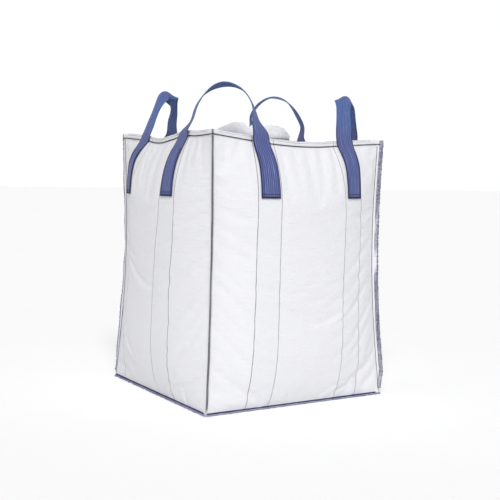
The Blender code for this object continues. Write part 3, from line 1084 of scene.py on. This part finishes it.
# Height of the slumped spout's fold round its mouth, by degrees from the side that faces the camera
SPOUT_FOLD = ((-180, 1.258), (-130, 1.246), (-95, 1.224), (-64, 1.228), (-38, 1.250), (-14, 1.268), (-5, 1.263),
              (0, 1.246), (7, 1.257), (20, 1.252), (38, 1.257), (62, 1.250), (90, 1.226), (125, 1.244), (180, 1.258))
# Profile of the folded cuff: distance off the spout's radius, and share of the way up to the fold
CUFF = ((0.0010, -0.05), (0.0000, 0.0), (0.0035, 0.10), (0.0060, 0.25), (0.0055, 0.45), (0.0020, 0.66),
        (-0.0030, 0.83), (-0.0075, 0.94), (-0.0105, 0.985), (-0.0135, 1.0), (-0.0162, 0.982), (-0.0182, 0.93),
        (-0.0188, 0.80), (-0.0188, 0.62))
SEAM_Z = 1.1945
TUBE_BOTTOM = 0.972


def round_spout(angle, radius, z, *flat):
    """Points round the spout's axis and, beside them, the cloth's own coordinates."""
    columns = (np.cos(angle) * radius, np.sin(angle) * radius, z, *flat)
    return np.stack([column + angle * 0.0 for column in columns], axis=-1)


def cloth_tube(name, rows, body):
    grid = np.stack(rows)
    item = new_mesh(name, grid[..., :3], grid_faces(*grid.shape[:2], wrap=True), SPOUT_CLOTH, body, grid[..., 3:])
    fix_normals(item)
    thicken(item, SPOUT_CLOTH_THICKNESS, 0.0)
    apply_modifiers(item)
    return item


def spout():
    turn_of = np.arange(220) / 220 * 360.0 - 180.0
    angle = np.radians(turn_of - 121.4)
    u = angle * SPOUT_R
    top = spline(SPOUT_FOLD, turn_of) + 0.0022 * ripples(angle * 0.2, 0.0, 71, 0.055, 2)
    lumps = 0.0050 * ripples(angle * 0.2, 3.0, 72, 0.10, 3)
    ids = np.linspace(0.0, len(CUFF) - 1.0, 56)
    out, rise = (spline(list(enumerate(values)), ids) for values in zip(*CUFF))
    rows = []
    run = 0.0
    for away, share in zip(out, rise):
        calm = math.exp(-((share - 0.55) / 0.40) ** 2) * (1.0 if away > -0.012 else 0.25)
        slack = 0.0042 * ripples(angle * 0.2 + share * 0.03, share * 0.13, 73, 0.075, 3)
        radius = SPOUT_R + away + calm * (lumps + slack)
        rows.append(round_spout(angle, radius, SEAM_Z + (top - SEAM_Z) * share, u, run, 0.0))
        run += 0.003
    item = cloth_tube("spout_cuff", rows, "bag")
    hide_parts("filling_spout")

    rows = []
    for level in np.linspace(0.0, 1.0, 60):
        z = TUBE_BOTTOM + (top - 0.006 - TUBE_BOTTOM) * level
        pleat = 0.0022 * np.sin(angle * 17.0 + 2.0 * np.sin(angle * 3.0 + level)) * (1.0 - level * 0.75)
        slack = 0.0026 * ripples(angle * 0.18, z * 0.6, 81, 0.10, 2) * (1.0 - level * 0.6)
        radius = SPOUT_R - 0.0205 - 0.003 * (1.0 - level) ** 2 + np.minimum(pleat + slack, 0.0016 - 0.0010 * level)
        rows.append(round_spout(angle, radius, z, u, z, 1.0))
    item = cloth_tube("spout_tube", rows, None)
    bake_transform(item)
    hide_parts("spout_sleeve")

    threads = Threads()
    ring = round_spout(angle, SPOUT_R + 0.004, 1.1950)
    ring = np.concatenate([ring, ring[:1]])
    threads.stitches(ring, unit(ring * (1.5, 1.5, 0.0) + UP * 0.9), 0.0085, 0.90, 0.0010)
    threads.piece("spout_seam_thread", CHARCOAL, "seam_thread_navy", "spout_seam")


def leg_stitching(quarter, side):
    """The sewn end of a strap: rows of dark stitches across it and down both edges."""
    corner = quarter if side < 0 else (quarter + 1) % 4
    threads = Threads()
    reach = STRAP_WIDTH * 0.5

    def row(offsets, heights, number):
        zs = np.linspace(*heights, number)
        xs = leg_x(quarter, side, zs) + np.linspace(*offsets, number)
        line = on_side(quarter, xs, zs, 0.0056)
        steep = unit(on_side(quarter, xs, zs + 0.003, 0.0056) - line)
        normal = np.cross(np.broadcast_to(np.array([1.0, 0.0, 0.0]), steep.shape), steep)
        return turn(line, quarter), turn(unit(normal), quarter)

    for lift, radius in ((0.0030, 0.0016), (0.0075, 0.0011), (0.0185, 0.0011)):
        z = LEG_BOTTOM + lift
        line, normal = row((-reach + 0.001, reach - 0.001), (z, z), 14)
        threads.stitches(line, normal, 0.0050, 0.96, radius)
    for edge in (-1.0, 1.0):
        for inset in (0.0030, 0.0100):
            at = edge * (reach - inset)
            line, normal = row((at, at), (LEG_BOTTOM + 0.004, 1.140), 30)
            threads.stitches(line, normal, 0.0065, 0.85, 0.0009)
    place_name = "%s_near_%s" % (SIDES[quarter], CORNERS[corner])
    threads.piece("stitching_" + place_name, NAVY, "tack_thread_dark_blue", "loop_tack_" + place_name)


camera()
surroundings()
for number in range(4):
    side_panel(number)
base_panel()
top_panel()
spout()
for number in range(4):
    strap(number)
for number in range(4):
    leg_stitching(number, -1.0)
    leg_stitching(number, 1.0)
    corner_threads(number)
    floor_threads(number)
    rim_threads(number)
